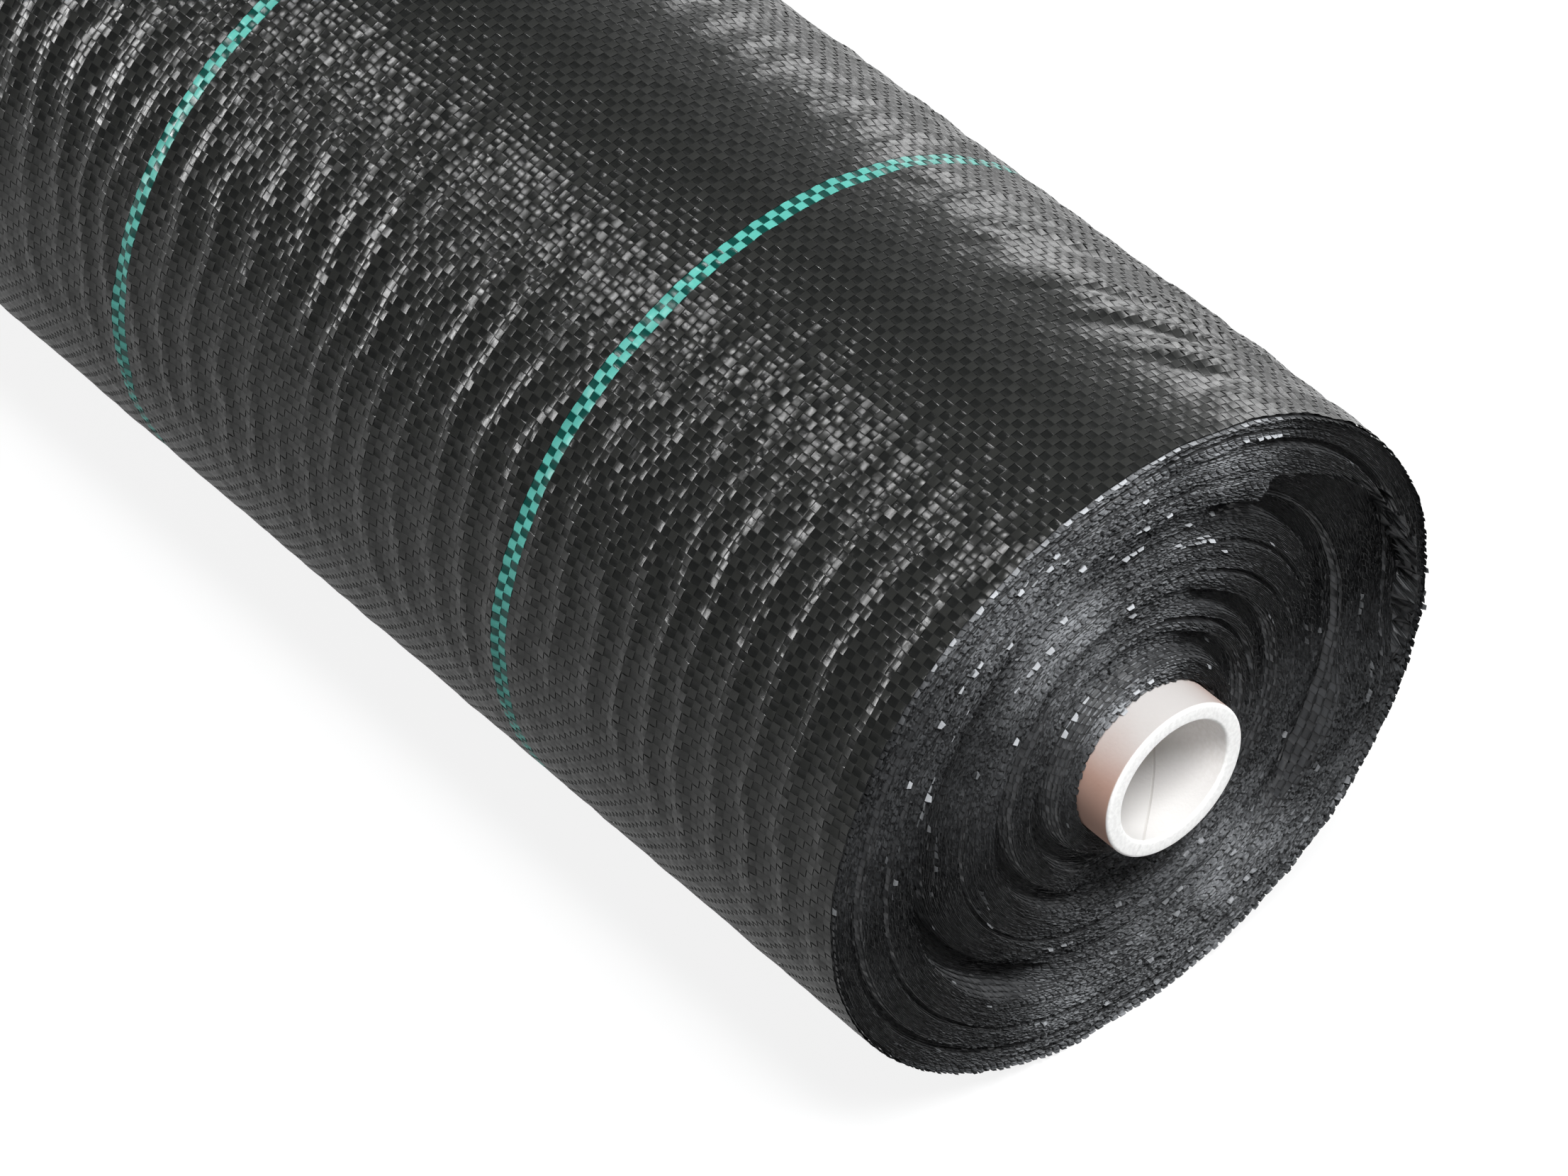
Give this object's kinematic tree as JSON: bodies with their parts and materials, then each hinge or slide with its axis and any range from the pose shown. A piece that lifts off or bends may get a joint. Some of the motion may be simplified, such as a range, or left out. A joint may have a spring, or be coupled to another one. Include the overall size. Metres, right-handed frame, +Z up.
{
  "type": "roll of weed control fabric",
  "caption": "Roll of black woven weed control fabric with green marker lines, wound on an open cardboard core, with a loose end that lifts.",
  "frame": {"origin": "on the ground, under the middle of the roll", "axes": "+X along the core, towards the end that the picture shows; +Z up; +Y towards the side where the loose end of the fabric hangs"},
  "size_m": [0.957, 0.2458, 0.2339],
  "materials": {
    "cardboard": "matte wound paperboard, paler on the cut ends and in the bore",
    "woven_fabric": "woven flat polypropylene tapes, black with a soft plastic gloss",
    "green_tape": "flat polypropylene warp tapes, turquoise green with a soft plastic gloss"
  },
  "bodies": {
    "roll": {"core_tube": "cardboard", "wound_fabric": "woven_fabric", "marker_1_tape_1": "green_tape", "marker_1_tape_2": "green_tape", "marker_2_tape_1": "green_tape", "marker_2_tape_2": "green_tape", "marker_3_tape_1": "green_tape", "marker_3_tape_2": "green_tape", "marker_4_tape_1": "green_tape", "marker_4_tape_2": "green_tape"},
    "free_end": {"loose_end": "woven_fabric", "loose_marker_1_tape_1": "green_tape", "loose_marker_1_tape_2": "green_tape", "loose_marker_2_tape_1": "green_tape", "loose_marker_2_tape_2": "green_tape", "loose_marker_3_tape_1": "green_tape", "loose_marker_3_tape_2": "green_tape", "loose_marker_4_tape_1": "green_tape", "loose_marker_4_tape_2": "green_tape"}
  },
  "joints": [
    {"name": "loose_end_lift", "type": "hinge", "parent": "roll", "child": "free_end", "pos_m": [0, 0.12283, 0.10409], "axis": [1, 0, 0], "range_deg": [0, 75]}
  ]
}
